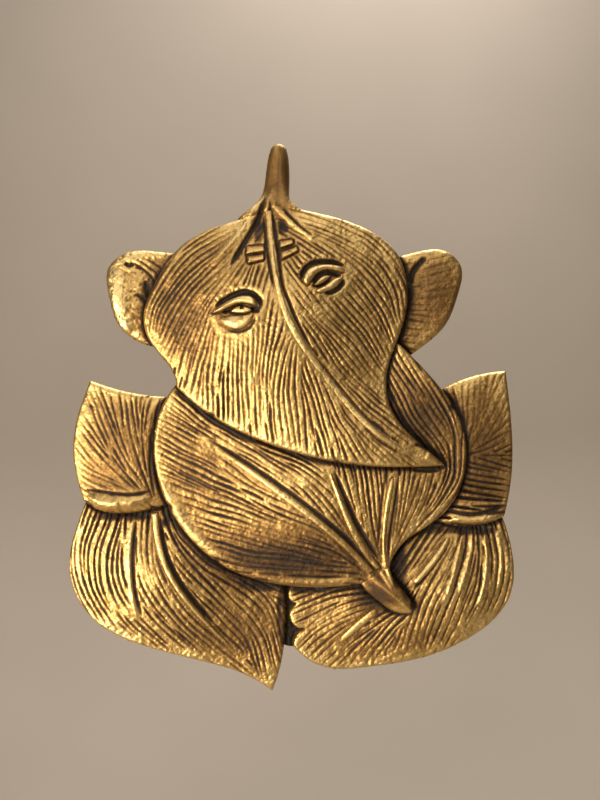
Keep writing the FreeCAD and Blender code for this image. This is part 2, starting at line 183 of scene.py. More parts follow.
LEAVES = {
    "head_leaf": {
        "spacing": 1.75, "depth": 0.45, "roll": 1.5,
        "flow": [((-5, 39), 11, 4)],
        "veins": [
            [(-9.5, 35), (-17.5, 31.5), (-27.5, 26.5), (-36.5, 20.5), (-43.5, 12.5), (-49, 3.5), (-50, -3)],
            [(-9, 32.5), (-15, 26), (-23.5, 17), (-32.5, 8.5), (-39, -1), (-43.5, -10)],
            [(-11.5, 30.5), (-15, 24), (-21, 15), (-27, 6.5), (-30.5, 1)],
            [(-8.5, 17.5), (-10, 12), (-11, 7)],
            [(-29, -1.5), (-31.5, -8.5), (-34.5, -17), (-36.5, -24.5)],
            [(-23.5, -5), (-24.5, -14), (-25.5, -22.5), (-25.5, -31.5)],
            [(-14.5, -6), (-14.5, -15.5), (-15, -26), (-15, -36.5)],
            [(-6, 5), (-7.5, -9), (-9.5, -21), (-8.5, -40)],
            [(-0.5, -5.5), (-3.5, -15.5), (-5, -28), (-3.5, -43.5)],
            [(2.5, -13), (2, -22.5), (3, -34), (4.5, -47)],
            [(7, -21), (10, -29.5), (12.5, -38.5), (16, -50)],
            [(14, -29.5), (17.5, -36.5), (22, -43.5), (26.5, -50.5)],
            [(22, -37.5), (26.5, -42), (31.5, -47), (36, -51.5)],
            [(33.5, -44.5), (39, -48), (43.5, -51)],
            [(0, 34), (11, 31.5), (22.5, 27.5), (32.5, 20.5), (38.5, 11.5), (40.5, 3.5)],
            [(-2.5, 30.5), (7, 25), (18, 18), (26.5, 9.5), (34, 0), (37.5, -8)],
            [(-2, 18.5), (3.5, 11.5), (10.5, 3.5)],
            [(0, 11.5), (8, 1.5), (17, -7.5), (26.5, -18), (33, -25)],
            [(0, 4), (6.5, -5), (13.5, -14.5), (21.5, -24.5), (29.5, -31.5), (36.5, -36.5)],
            [(23, 5.5), (30.5, -3), (36, -12)],
            [(9, -12), (15, -20), (23, -28.5), (31, -36), (42.5, -45.5)],
        ],
        "cuts": [
            *FORK_CUTS,
            ([(9.2, -14), (18.8, -26), (28, -36.5), (38, -44.5)], 0.35, 0.5),
            ([(-9.4, 36.6), (-8.6, 30), (-7.9, 23), (-6.6, 16), (-5.2, 9)], 0.4, 0.7),
            ([*LEFT_CREASE, (-9.9, 2.2)], 0.72, 1.5),
            (RIGHT_CREASE, 0.68, 1.4),
            ([(-23.6, 1.1), (-20.6, 2.2), (-16, 3.7)], 0.6, 1.0),
            ([(-13.6, 1.9), (-11.6, 1.9), (-10, 1.8)], 0.9, 1.3),
            ([(8.2, 11.4), (10.2, 13.9), (12.8, 15.2), (16, 15), (18.4, 14.4)], 0.75, 1.2),
            ([(9.2, 9.9), (12.2, 11.2), (14.6, 13.1)], 0.4, 0.8),
            ([(12.4, 7.7), (15.2, 8.4), (17.8, 10.2), (19.4, 13)], 0.6, 1.0),
            ([(-21.5, -5.2), (-17.5, -5.8), (-13.6, -4.2), (-11.4, -0.6)], 0.3, 0.5),
            ([(44.2, -45.2), (46.8, -46.0), (49.2, -47.4)], 0.35, 0.8),
        ],
        "rims": [*FORK_RIMS, ([(48, -49), (53, -51.6)], 1.4, 0.5)],
        "lashes": [LEFT_CREASE, RIGHT_CREASE],
        "calm": [((-19, -1), 9, 6), ((13, 12), 8, 5), ((-6, 22), 8, 3.5)],
        # Painted shade in the dark hollows of the fork below the stalk.
        "shade": [((-10.8, 31), 2.2, 4.6), ((-2.4, 31.4), 1.7, 2.8)],
    },
    "belly_leaf": {
        "spacing": 1.8, "depth": 0.5, "roll": 1.6,
        "flow": [((30.8, -92.4), 8, 5)],
        "veins": [
            [(-38, -29.5), (-26, -38.5), (-11.5, -46), (5, -53), (13, -59)],
            [(-9.5, -49.5), (5, -60), (16.5, -74.5), (26.5, -88)],
            [(-46.5, -38), (-34.5, -45), (-23.5, -51), (-14, -58)],
            [(-46.5, -48.5), (-32, -56), (-14, -64), (-2, -69.5)],
            [(-44, -59.5), (-28.5, -65.5), (-11.5, -71), (5, -77)],
            [(-38, -70), (-23.5, -75), (-4.5, -79.5), (12, -84)],
            [(-28.5, -81), (-14, -85.5), (2.5, -88), (21.5, -91)],
            [(-14, -91.5), (2.5, -92.5), (21.5, -93.5)],
            [(18, -56), (21.5, -67.5), (26, -79.5), (31.5, -89)],
            [(25.5, -56), (27.5, -68.5), (30, -82), (33.5, -90.5)],
            [(40.5, -56.5), (38.5, -68.5), (36, -82), (34.5, -89)],
            [(49, -55), (46, -66.5), (40.5, -77), (36, -86.5)],
            [(57.5, -56), (53, -66.5), (45.5, -76), (37.5, -85.5)],
            [(62, -42.5), (60.5, -57), (53, -69), (43, -78.5)],
            [(38.5, -25), (44, -35.5), (51.5, -44), (55, -51)],
            [(46.5, -17.5), (54, -29.5), (59, -41.5), (59, -54.5)],
            [(42.5, -22.5), (49, -33), (56, -44)],
        ],
        "cuts": [
            ([(-29, -43.6), (-13.2, -53.2), (4.2, -65.3), (18.6, -77.2), (28.4, -87.4)], 0.55, 0.9),
            ([(15.8, -54.5), (20.2, -65), (24.8, -75), (32, -86.6)], 0.6, 1.0),
            ([(38.9, -56.5), (38.2, -62.5), (36.9, -70), (35.6, -80), (35.4, -87)], 0.38, 0.65),
            ([(33.8, -58), (32.4, -70), (31.6, -82)], 0.35, 0.5),
            ([(44, -54.6), (50, -54.9), (54, -54.6)], 0.5, 0.8),
        ],
        "rims": [
            SPUR,
            ([(33.9, -84), (34.2, -88), (35.4, -91)], 0.9, 0.7),
            ([(-46.3, -58), (-42, -66.5), (-36.7, -74.8), (-29.6, -82), (-21.5, -87)], 1.3, 0.5),
            ([(-14.2, -91.5), (-2.3, -94.2), (9.6, -94.6), (25, -93.6)], 0.8, 0.4),
        ],
        "calm": [((-6, -77), 20, 5), ((-26, -47), 10, 4), ((-2, -58), 9, 3)],
    },
    "left_arm_leaf": {
        "spacing": 1.9, "depth": 0.4, "roll": 1.6,
        "veins": [
            [(-50, -61), (-50.5, -51.5), (-50.5, -39), (-49, -32)],
            [(-51, -62), (-54.5, -51), (-58, -39), (-59.5, -29.5)],
            [(-52, -62.5), (-59.5, -52.5), (-66, -40.5), (-71.5, -27)],
            [(-53.5, -63.5), (-62.5, -56), (-71, -47.5), (-76.5, -40.5)],
            [(-54.5, -64), (-63.5, -60), (-72.5, -57), (-78, -52.5)],
        ],
        "cuts": [([(-74, -62), (-70, -62.3), (-63, -63.2), (-56, -63.6), (-50, -62.5)], 0.4, 0.65)],
        "rims": [
            ([(-73.8, -64.2), (-66.5, -66.0), (-58, -66.2), (-50, -64.6)], 1.0, 0.8),
            ([(-72.8, -64.8), (-66, -66.4), (-59, -66.7), (-54, -65.8)], 1.7, 1.1),
            ([(-70.5, -65.8), (-66, -66.9), (-60, -67.1)], 2.2, 1.4),
        ],
        "calm": [((-62, -67), 15, 4.5)],
    },
    "right_arm_leaf": {
        "spacing": 2.1, "depth": 0.75, "roll": 1.6,
        "veins": [
            [(63, -50), (70, -52), (80.5, -55)],
            [(62, -59.5), (70, -61.5), (81, -63)],
            [(58.5, -68), (68.5, -69), (79.5, -69)],
            [(57, -29), (60, -38), (62, -47)],
            [(67, -25), (66, -36), (63.5, -47)],
            [(77.5, -28), (71.5, -38), (65, -47.5)],
            [(81, -43), (73, -46.5), (65, -49)],
        ],
        "cuts": [([(56, -69.2), (66, -70.8), (78, -68.2)], 0.6, 0.9)],
        "rims": [([(58, -72.4), (67, -73.4), (76.5, -71.2)], 1.2, 1.0)],
        "calm": [((71, -34), 17, 18)],
    },
    "left_leg_leaf": {
        "spacing": 1.9, "depth": 0.5, "roll": 1.5,
        "veins": [
            [(-74, -71), (-77.5, -80.5), (-78, -90), (-75.5, -99.5), (-69, -109.5)],
            [(-69, -74.5), (-72.5, -85), (-71.5, -97), (-65, -109), (-55.5, -118)],
            [(-63, -75.5), (-66, -87.5), (-63.5, -100.5), (-55.5, -112.5), (-45, -121.5)],
            [(-58, -74.5), (-58, -86), (-55, -99), (-47, -111.5), (-35, -123)],
            [(-50.5, -73), (-50.5, -82.5), (-47, -94), (-39.5, -106.5), (-26.5, -119.5), (-16, -128)],
            [(-44.5, -73), (-39.5, -83.5), (-32.5, -93), (-21.5, -104.5), (-12, -116), (-8.5, -130.5)],
            [(-38.5, -80), (-30, -88.5), (-18, -96), (-8.5, -105), (-4, -118.5)],
            [(-27.5, -90), (-15.5, -94), (-2.5, -100)],
        ],
        "cuts": [
            ([(-47.2, -71.5), (-45.4, -81.5), (-41, -92), (-34, -102.5), (-27, -111)], 0.65, 1.0),
            ([(-55.5, -72.5), (-56.3, -83), (-55.5, -97), (-53, -108)], 0.45, 0.7),
        ],
        "rims": [([(-56.8, -71.5), (-57.9, -82.7), (-57.2, -97.2), (-54.8, -109.5)], 0.85, 0.45)],
        "calm": [((-64, -117), 14, 5), ((-38, -124), 12, 3.5), ((-8, -132), 5, 5)],
        "sandy": 1.2,
        # Painted shadow where the arm's lip and the belly overhang the leg, and painted shade down its
        # right edge.
        "shade": [((-60, -72), 9, 1.3), ((-9, -96.5), 8, 2.6), ((-44, -72), 3, 4), ((-2.6, -107), 1.8, 12)],
    },
    "right_leg_leaf": {
        "spacing": 2.0, "depth": 0.5, "roll": 1.5,
        "veins": [
            [(60, -75.5), (54, -82.5), (47, -92)],
            [(63, -75.5), (59, -87), (51.5, -99), (47, -111.5), (45, -124)],
            [(66, -75.5), (64.5, -88.5), (60.5, -101), (55.5, -114), (52, -123)],
            [(71.5, -75.5), (72.5, -87.5), (70.5, -101.5), (64.5, -114), (60, -120.5)],
            [(76.5, -73.5), (80, -87.5), (78.5, -99.5), (73.5, -110.5)],
            [(45.5, -106.5), (43.5, -115.5), (40, -127)],
            [(41, -106), (34, -114), (25.5, -125.5)],
            [(38.5, -104.5), (29, -110.5), (19.5, -118.5), (13.5, -124.5)],
            [(34, -102), (22, -105.5), (10, -112.5), (3.5, -118.5)],
            [(28, -99), (14.5, -102), (2, -107.5)],
        ],
        "cuts": [([(57.4, -81), (50.5, -90), (44.6, -97.5)], 0.6, 0.9)],
        "rims": [
            ([(66, -77.5), (65.6, -83), (63.6, -90), (60.6, -99)], 0.65, 0.55),
            ([(62.4, -78.5), (60.6, -86), (57.4, -96), (54.6, -103)], 0.5, 0.4),
            ([(75.5, -76.5), (76.8, -88), (75, -98)], 0.5, 0.3),
            ([(70.4, -77), (71.2, -86), (70.4, -94), (67.6, -104)], 0.55, 0.5),
        ],
        "calm": [((44, -124), 24, 6), ((68, -113), 10, 6)],
        "sandy": 1.2,
        # Painted shadow where the arm's lip and the belly overhang the leg.
        "shade": [((39.5, -90), 3, 7.5), ((66, -77), 9, 1.5), ((7, -98.5), 7, 1.6), ((52, -76.5), 4, 1.6)],
    },
    "leg_web": {
        "spacing": 3.0, "depth": 0.1, "roll": 0.5,
        "veins": [[(-1, -98), (0, -119)]],
        # Painted shade over the whole web, in the gap between the legs.
        "shade": [((0, -108), 12, 18)],
    },
    "left_ear_leaf": {
        "spacing": 3.2, "depth": 0.08, "hair": 0.03, "roll": 2.4, "rough": 1.7,
        "veins": [
            [(-58, 20), (-54, 17), (-50, 13)],
            [(-62, 8), (-57, 7), (-51, 9)],
            [(-60, -2), (-56, -1), (-50, 1)],
        ],
        "cuts": [
            ([(-60, 20.4), (-58.4, 19.4), (-56.8, 20.2)], 0.7, 0.8),
            ([(-57.4, 20.6), (-54, 18.4), (-50.3, 15.2), (-48, 12)], 0.4, 0.6),
            ([(-55.6, 21.6), (-52.5, 19.6), (-49, 17), (-46, 14)], 0.35, 0.5),
            ([(-53.4, 22.4), (-50.5, 20.8), (-46, 18)], 0.3, 0.4),
            ([(-56.4, 8.6), (-53.6, 7.6), (-51.6, 4.4), (-51.2, -1), (-50.2, -6)], 0.8, 0.8),
            ([(-52.6, 14), (-51.4, 9), (-50, 4)], 1.4, 0.7),
        ],
        "rims": [([(-62.4, 18.5), (-63.2, 12), (-62.6, 5), (-61, -1), (-57.6, -5)], 3.2, 1.0)],
    },
    "right_ear_leaf": {
        "spacing": 2.4, "depth": 0.14, "hair": 0.05, "roll": 2.4,
        "veins": [
            [(45, 14), (52, 16), (60, 18)],
            [(44, 9.5), (53, 10), (61, 11)],
            [(43, 5), (52, 5), (59, 5)],
            [(42, 0), (50, -1.5), (56, -2)],
            [(42, -6), (48, -7), (52, -7)],
        ],
        "cuts": [([(49.8, 22.5), (46.7, 19.6), (44.4, 16), (43.3, 11.5)], 0.8, 0.9)],
    },
    "head_stalk": {
        "spacing": 4.0, "depth": 0.06, "hair": 0.03, "roll": 1.8, "rough": 0.3, "meets": "head_leaf",
        "flow": [((-5, 38), 14, 5)],
        "veins": [[(-4, 35), (-3.5, 60)]],
        "cuts": FORK_CUTS,
        "rims": [*FORK_RIMS, ([(-7.3, 34), (-8, 38.6), (-7.4, 42), (-6, 47)], 0.9, 0.5)],
    },
    "belly_stalk": {
        "spacing": 3.0, "depth": 0.05, "hair": 0.02, "roll": 1.0, "rough": 0.35, "meets": "belly_leaf",
        "dip": 0.25,
        "flow": [((30.2, -90.4), 8, 4.6)],
        "veins": [[(30, -90), (36, -97), (43, -104)]],
        "rims": [
            SPUR,
            ([(31.6, -88.6), (33.6, -92.4), (36.7, -96.8)], 0.7, 0.6),
            ([(34.2, -86), (35.2, -91), (37.2, -96.6)], 0.6, 0.5),
        ],
        # Painted shade along the stalk's right flank, which faces away from the light.
        "shade": [((38.6, -93.2), 1.5, 3), ((41.8, -98.0), 1.8, 2.8), ((44.2, -102.2), 1.4, 2.4)],
    },
}
for leaf in LEAVES.values():
    for key, value in PLAIN_LEAF.items():
        leaf.setdefault(key, value)

# Painted shade: broad patches darkened for how light falls on those parts, added as extra patina: (centre,
# half width, half height, amount).
PAINTED_SHADE_PATCHES = [
    ((70, -48), 17, 27, 0.38),
    ((54, 9), 15, 19, 0.42),
    ((50, -34), 14, 17, 0.42),
    ((-2, -87), 36, 12, 0.55),
    ((-16, -116), 22, 17, 0.28),
    ((38, -119), 38, 10, 0.20),
    ((-4, 50), 9, 17, 0.53),
    ((-4, 26), 14, 9, 0.10),
    ((-27, 22), 18, 12, 0.17),
    ((34, 0), 13, 26, 0.06),
    ((31.8, -99.4), 9, 7.5, 0.7),
    ((-62, -48), 17, 24, 0.28),
    ((-40, 0), 14, 26, 0.30),
    ((-34, -56), 16, 20, 0.24),
    ((-66, -95), 14, 22, 0.07),
]

# Where the right leg's ribs fade out, as (x, z, radius).
RIGHT_LEG_RIB_ENDS = [(58.4, -78.3, 2), (43.8, -96.2, 2), (32.4, -104.8, 2), (17, -119.3, 5)]

# Raised details on the leaves: width of the rounded edge, height, how far it is sunk into the leaf,
# depth of the moat round it, and the places (x, z, radius) where it fades into the leaf.
DETAILS = {
    "head_midrib": (1.3, 0.35, 1.6, 0.065, [(47, -50, 9)]),
    "belly_ribs": (1.5, 0.6, 1.6, 0.13, [(-31, -44, 9), (13.5, -53.7, 2), (36.9, -56.5, 2)]),
    "left_leg_midrib": (1.1, 0.6, 1.6, 0.13, [(-17, -124.5, 10)]),
    "right_leg_ribs": (1.4, 0.9, 1.6, 0.13, RIGHT_LEG_RIB_ENDS),
    "forehead_mark": (0.65, 1.15, 1.2, 0.52, []),
    "left_upper_eyelid": (1.3, 1.6, 2.4, 0.39, []),
    "right_upper_eyelid": (1.5, 1.5, 2.4, 0.39, [(21.6, 16.5, 2.5)]),
    "left_eyeball": (1.3, 0.8, 2.4, 0.65, []),
    "right_eyeball": (1.1, 0.8, 2.4, 0.65, []),
    "left_lower_eyelid": (2.4, 1.3, 2.0, 0.195, [(-27, -1.5, 3.5)]),
    "right_lower_eyelid": (1.4, 1.1, 2.0, 0.26, [(8.5, 8.8, 1.2)]),
}

# The pupils, each (line, half width, depth).
PUPILS = {
    "left_eyeball": ([(-16.6, 3.1), (-16.5, 1.7)], 0.36, 0.9),
    "right_eyeball": ([(11.0, 12.7), (11.3, 12.95)], 0.34, 0.9),
}


def blended(grid, i, j, a, b):
    """A grid's value at the shares a and b of the way from the points (i, j) to the next ones."""
    low = grid[i, j] * (1 - a) + grid[i + 1, j] * a
    high = grid[i, j + 1] * (1 - a) + grid[i + 1, j + 1] * a
    return low * (1 - b) + high * b


def noise(x, z, size, seed):
    """A smooth random field from -1 to 1 with lumps about size across."""
    period, shift = 256, 500.0
    table = np.random.default_rng(SEED + seed).uniform(-1, 1, (period, period))
    u = x / size + shift
    v = z / size + shift
    i = np.floor(u).astype(int)
    j = np.floor(v).astype(int)
    a = u - i
    b = v - j
    a = a * a * (3 - 2 * a)
    b = b * b * (3 - 2 * b)
    return blended(np.pad(table, (0, 1), mode="wrap"), i % period, j % period, a, b)


def noise_layers(x, z, seed, layers):
    """A sum of layers of noise, each (size, height), whose seeds count up from seed."""
    return sum(height * noise(x, z, size, seed + k) for k, (size, height) in enumerate(layers))


def blur(field, radius):
    """Gaussian blur of a grid, with radius in cells."""
    reach = int(3 * radius) + 1
    kernel = np.exp(-0.5 * (np.arange(-reach, reach + 1) / radius) ** 2)
    kernel /= kernel.sum()
    for axis in (0, 1):
        pad = [(reach, reach) if k == axis else (0, 0) for k in (0, 1)]
        padded = np.pad(field, pad, mode="edge")
        field = np.apply_along_axis(lambda line: np.convolve(line, kernel, "valid"), axis, padded)
    return field


def along(line, step):
    """Evenly spaced points on a smooth curve through the line's points (Catmull-Rom)."""
    points = np.array(line, float)
    ends = np.vstack([2 * points[0] - points[1], points, 2 * points[-1] - points[-2]])
    dense = []
    for p0, p1, p2, p3 in zip(ends, ends[1:], ends[2:], ends[3:]):
        t = np.linspace(0, 1, 12, endpoint=False)[:, None]
        bend = 2 * p0 - 5 * p1 + 4 * p2 - p3
        twist = 3 * p1 - p0 - 3 * p2 + p3
        dense.append(0.5 * (2 * p1 + (p2 - p0) * t + bend * t**2 + twist * t**3))
    dense = np.vstack(dense + [points[-1:]])
    run = np.concatenate([[0], np.cumsum(np.linalg.norm(np.diff(dense, axis=0), axis=1))])
    count = max(int(run[-1] / step), 1) + 1
    where = np.linspace(0, run[-1], count)
    return np.stack([np.interp(where, run, dense[:, 0]), np.interp(where, run, dense[:, 1])], axis=1)


def point_tree(points):
    """A search tree over (x, z) points."""
    tree = KDTree(len(points))
    for index, (x, z) in enumerate(points):
        tree.insert((x, z, 0.0), index)
    tree.balance()
    return tree


def nearest(tree, x, z, wanted):
    """Distance to, and index of, the nearest tree point for the wanted grid points."""
    distance = np.full(x.shape, FAR)
    index = np.zeros(x.shape, int)
    for i, j in zip(*np.nonzero(wanted)):
        _, found, gap = tree.find((x[i, j], z[i, j], 0.0))
        distance[i, j] = gap
        index[i, j] = found
    return distance, index


def cad_tree(*nodes):
    """A ray tree over CAD nodes, in millimetres."""
    points = []
    faces = []
    for node in nodes:
        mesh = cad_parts[node].data
        start = len(points)
        points.extend(v.co / MM for v in mesh.vertices)
        faces.extend([start + k for k in p.vertices] for p in mesh.polygons)
    return BVHTree.FromPolygons(points, faces)


def front_height(tree, x, z):
    """How far off the wall the front is at a place, or None where there is nothing."""
    hit = tree.ray_cast(Vector((x, -IN_FRONT, z)), TO_WALL)[0]
    return None if hit is None else -hit.y


def edge_point(tree, inside, outside):
    """The point of the outline between a covered and an open place."""
    for _ in range(10):
        middle = (inside + outside) / 2
        if front_height(tree, middle[0], middle[1]) is None:
            outside = middle
        else:
            inside = middle
    return (inside + outside) / 2


class Field:
    """A node's front and back as grids of heights off the wall."""

    def __init__(self, node, pitch):
        self.node = node
        self.pitch = pitch
        tree = cad_tree(node)
        low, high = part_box(node)
        xs = np.arange(low.x / MM - 1.5 * pitch, high.x / MM + 2.5 * pitch, pitch)
        zs = np.arange(low.z / MM - 1.5 * pitch, high.z / MM + 2.5 * pitch, pitch)
        self.x, self.z = np.meshgrid(xs, zs, indexing="ij")
        self.front = np.full(self.x.shape, np.nan)
        self.back = np.full(self.x.shape, np.nan)
        for i, x in enumerate(xs):
            for j, z in enumerate(zs):
                top = front_height(tree, x, z)
                if top is not None:
                    self.front[i, j] = top
                    self.back[i, j] = -tree.ray_cast(Vector((x, BEHIND, z)), FROM_WALL)[0].y
        self.inside = ~np.isnan(self.front)
        self.choose_cells()
        self.find_outline(tree)
        self.snap_border()

    def point(self, i, j):
        return np.array((self.x[i, j], self.z[i, j]))

    def cell_of(self, x, z):
        """Indices of the grid cells that hold points, kept inside the grid."""
        i = ((x - self.x[0, 0]) / self.pitch).astype(int)
        j = ((z - self.z[0, 0]) / self.pitch).astype(int)
        return np.clip(i, 0, self.x.shape[0] - 2), np.clip(j, 0, self.x.shape[1] - 2)

    def choose_cells(self):
        """The grid cells that the mesh is made of, with no cells joined only at a corner."""
        ins = self.inside
        corners = ins[:-1, :-1].astype(int) + ins[1:, :-1] + ins[:-1, 1:] + ins[1:, 1:]
        cells = corners >= 3
        for _ in range(4):
            a, b, c, d = cells[:-1, :-1], cells[1:, :-1], cells[:-1, 1:], cells[1:, 1:]
            touch = (a & d & ~b & ~c) | (b & c & ~a & ~d)
            for i, j in zip(*np.nonzero(touch)):
                cells[i : i + 2, j : j + 2] = False
            around = np.zeros(cells.shape, int)
            around[1:, :] += cells[:-1, :]
            around[:-1, :] += cells[1:, :]
            around[:, 1:] += cells[:, :-1]
            around[:, :-1] += cells[:, 1:]
            cells &= around >= 2
        self.cells = cells
        used = np.zeros(ins.shape, int)
        for di in (0, 1):
            for dj in (0, 1):
                used[di : di + cells.shape[0], dj : dj + cells.shape[1]] += cells
        self.used = used > 0
        self.border = self.used & (used < 4)

    def find_outline(self, tree):
        """Points where the outline crosses the grid, and each grid point's distance to them."""
        points = []
        ins = self.inside
        for di, dj in ((1, 0), (0, 1)):
            one = ins[: ins.shape[0] - di, : ins.shape[1] - dj]
            two = ins[di:, dj:]
            for i, j in zip(*np.nonzero(one != two)):
                ends = self.point(i, j), self.point(i + di, j + dj)
                points.append(edge_point(tree, *(ends if one[i, j] else ends[::-1])))
        self.outline = np.array(points)
        self.outline_tree = point_tree(points)
        self.inset, _ = nearest(self.outline_tree, self.x, self.z, self.used)

    def snap_border(self):
        """Moves the mesh's border points onto the outline, and gives them heights."""
        fill = ~np.isnan(self.front)
        for i, j in zip(*np.nonzero(self.border)):
            found = self.outline_tree.find_n((self.x[i, j], self.z[i, j], 0.0), 2)
            p = np.array(found[0][0][:2])
            q = np.array(found[1][0][:2])
            run = q - p
            share = (self.point(i, j) - p) @ run / max(run @ run, 1e-9)
            share = min(max(share, -0.5), 1.5)
            self.x[i, j], self.z[i, j] = p + share * run
        for name in ("front", "back"):
            grid = getattr(self, name)
            for i, j in zip(*np.nonzero(self.used & ~fill)):
                patch = grid[max(i - 2, 0) : i + 3, max(j - 2, 0) : j + 3]
                grid[i, j] = np.nanmean(patch)
            grid[np.isnan(grid)] = 0.0
        self.inset[self.border] = 0.0


def spread(grid, known, steps):
    """Carries known values of a grid outwards over a few cells."""
    grid = grid.copy()
    known = known.copy()
    for _ in range(steps):
        total = np.zeros(grid.shape)
        count = np.zeros(grid.shape)
        for di, dj in ((1, 0), (-1, 0), (0, 1), (0, -1)):
            share = np.roll(known, (di, dj), (0, 1))
            total += np.where(share, np.roll(grid, (di, dj), (0, 1)), 0)
            count += share
        new = ~known & (count > 0)
        grid[new] = total[new] / count[new]
        known |= new
    return grid, known


def strongest(field, layers):
    """The largest of the layers at each point of the field, or 0."""
    total = np.zeros(field.x.shape)
    for layer in layers:
        total = np.maximum(total, layer)
    return total


def ovals(field, places):
    """For each (centre, half width, half height), a grid that is 1 in that oval and falls to 0 round it."""
    for (x, z), half_x, half_z in places:
        far = ((field.x - x) / half_x) ** 2 + ((field.z - z) / half_z) ** 2
        yield np.exp(-(far**2))


def spots(field, places):
    """For each (x, z, radius), a grid that falls smoothly from 1 at that point to 0."""
    for x, z, radius in places:
        yield np.exp(-((field.x - x) ** 2 + (field.z - z) ** 2) / radius**2)


def near_line(field, points, reach):
    """The field's points within reach of the box round a line."""
    low, high = points.min(axis=0) - reach, points.max(axis=0) + reach
    near = field.used & (field.x > low[0]) & (field.x < high[0])
    return near & (field.z > low[1]) & (field.z < high[1])


def ends_taper(count, steepness, power):
    """Shares from 0 at both ends of a line to 1 along its middle."""
    share = np.linspace(0, 1, count)
    return np.clip(np.minimum(share, 1 - share) * steepness, 0, 1) ** power


def wavering(points, size, seed):
    """Shares near 1 that vary along a line."""
    return 1 + 0.15 * noise(points[:, 0], points[:, 1], size, seed)


def vein_angles(guides, x, z):
    """The direction of the veins at each point, blended from the guide lines near it."""
    cosine = np.zeros(x.shape)
    sine = np.zeros(x.shape)
    for guide in guides:
        points = along(guide, 2.5)
        runs = np.gradient(points, axis=0)
        for (px, pz), (rx, rz) in zip(points, runs):
            weight = 1.0 / ((x - px) ** 2 + (z - pz) ** 2 + 1.0) ** 2.2
            angle = 2 * math.atan2(rz, rx)
            cosine += weight * math.cos(angle)
            sine += weight * math.sin(angle)
    return np.arctan2(sine, cosine) / 2


class Strokes:
    """Evenly spaced, hand-cut strokes that follow a leaf's veins."""

    STEP = 0.4
    HALF_LENGTHS = (10, 55)
    SHORTEST = 3.0
    WANDER = 0.10

    def __init__(self, guides, allowed, x0, z0, pitch, spacing, seed):
        """Strokes start on the guides, and then beside strokes that are already there. A direction and
        its opposite are the same, so angles are doubled before they are blended."""
        self.random = random.Random(SEED * 100 + seed)
        self.allowed = allowed
        self.x0, self.z0, self.pitch = x0, z0, pitch
        self.spacing = spacing
        shape = (int(allowed.shape[0] * pitch) + 2, int(allowed.shape[1] * pitch) + 2)
        x, z = np.meshgrid(x0 + np.arange(shape[0]), z0 + np.arange(shape[1]), indexing="ij")
        angle = vein_angles(guides, x, z) + self.WANDER * noise(x, z, 5.0, seed)
        self.run_x, self.run_z = np.cos(2 * angle), np.sin(2 * angle)
        self.taken = {}
        self.lines = []
        starts = [tuple(p) for guide in guides for p in along(guide, spacing * 2)]
        while starts:
            start = starts.pop(self.random.randrange(len(starts)))
            line = self.draw(start)
            if line is None:
                continue
            self.lines.append(line)
            for x, z in line:
                self.taken.setdefault((int(x // spacing), int(z // spacing)), []).append((x, z))
            for k in range(0, len(line) - 1, 5):
                (x, z), (nx, nz) = line[k], line[k + 1]
                side = spacing * self.random.uniform(0.95, 1.15) / self.STEP
                starts.append((x - (nz - z) * side, z + (nx - x) * side))
                starts.append((x + (nz - z) * side, z - (nx - x) * side))

    def is_free(self, x, z, gap):
        """Whether a place may be engraved and is gap away from every stroke."""
        i = int((x - self.x0) / self.pitch)
        j = int((z - self.z0) / self.pitch)
        on_grid = 0 <= i < self.allowed.shape[0] and 0 <= j < self.allowed.shape[1]
        if not on_grid or not self.allowed[i, j]:
            return False
        ci, cj = int(x // self.spacing), int(z // self.spacing)
        for a in (ci - 1, ci, ci + 1):
            for b in (cj - 1, cj, cj + 1):
                for px, pz in self.taken.get((a, b), ()):
                    if (px - x) ** 2 + (pz - z) ** 2 < gap * gap:
                        return False
        return True

    def heading(self, x, z):
        """The angle of the strokes at a place."""
        i = min(max(x - self.x0, 0), self.run_x.shape[0] - 1.001)
        j = min(max(z - self.z0, 0), self.run_x.shape[1] - 1.001)
        where = int(i), int(j), i - int(i), j - int(j)
        return math.atan2(blended(self.run_z, *where), blended(self.run_x, *where)) / 2

    def draw(self, start):
        """A stroke both ways from its start until another one is near, or None if it would be too short."""
        if not self.is_free(*start, 0.9 * self.spacing):
            return None
        halves = []
        for sign in (1, -1):
            x, z = start
            angle = self.heading(x, z) + (0 if sign == 1 else math.pi)
            points = []
            for _ in range(int(self.random.uniform(*self.HALF_LENGTHS) / self.STEP)):
                x += self.STEP * math.cos(angle)
                z += self.STEP * math.sin(angle)
                if not self.is_free(x, z, 0.5 * self.spacing):
                    break
                points.append((x, z))
                turn = self.heading(x, z)
                if math.cos(turn - angle) < 0:
                    turn += math.pi
                angle = turn
            halves.append(points)
        line = halves[1][::-1] + [start] + halves[0]
        return line if len(line) * self.STEP > self.SHORTEST else None


def carve(field, lines, wanted):
    """Depth left at each point by the nearest of the lines, each (points, half widths, depths)."""
    if not lines:
        return np.zeros(field.x.shape)
    points = np.vstack([line for line, _, _ in lines])
    widths = np.concatenate([width for _, width, _ in lines])
    depths = np.concatenate([depth for _, _, depth in lines])
    distance, index = nearest(point_tree(points), field.x, field.z, wanted)
    cut = depths[index] * np.exp(-((distance / widths[index]) ** 2))
    cut[~wanted] = 0
    return cut


def single(field, line, half_width, depth):
    """The depth or height of one drawn stroke, tapered at its ends."""
    points = along(line, POINT_STEP)
    taper = ends_taper(len(points), 7, 0.6)
    widths = half_width * taper * wavering(points, 1.3, 3) + 0.12
    near = near_line(field, points, 3.2 * half_width)
    return carve(field, [(points, widths, depth * taper)], near)


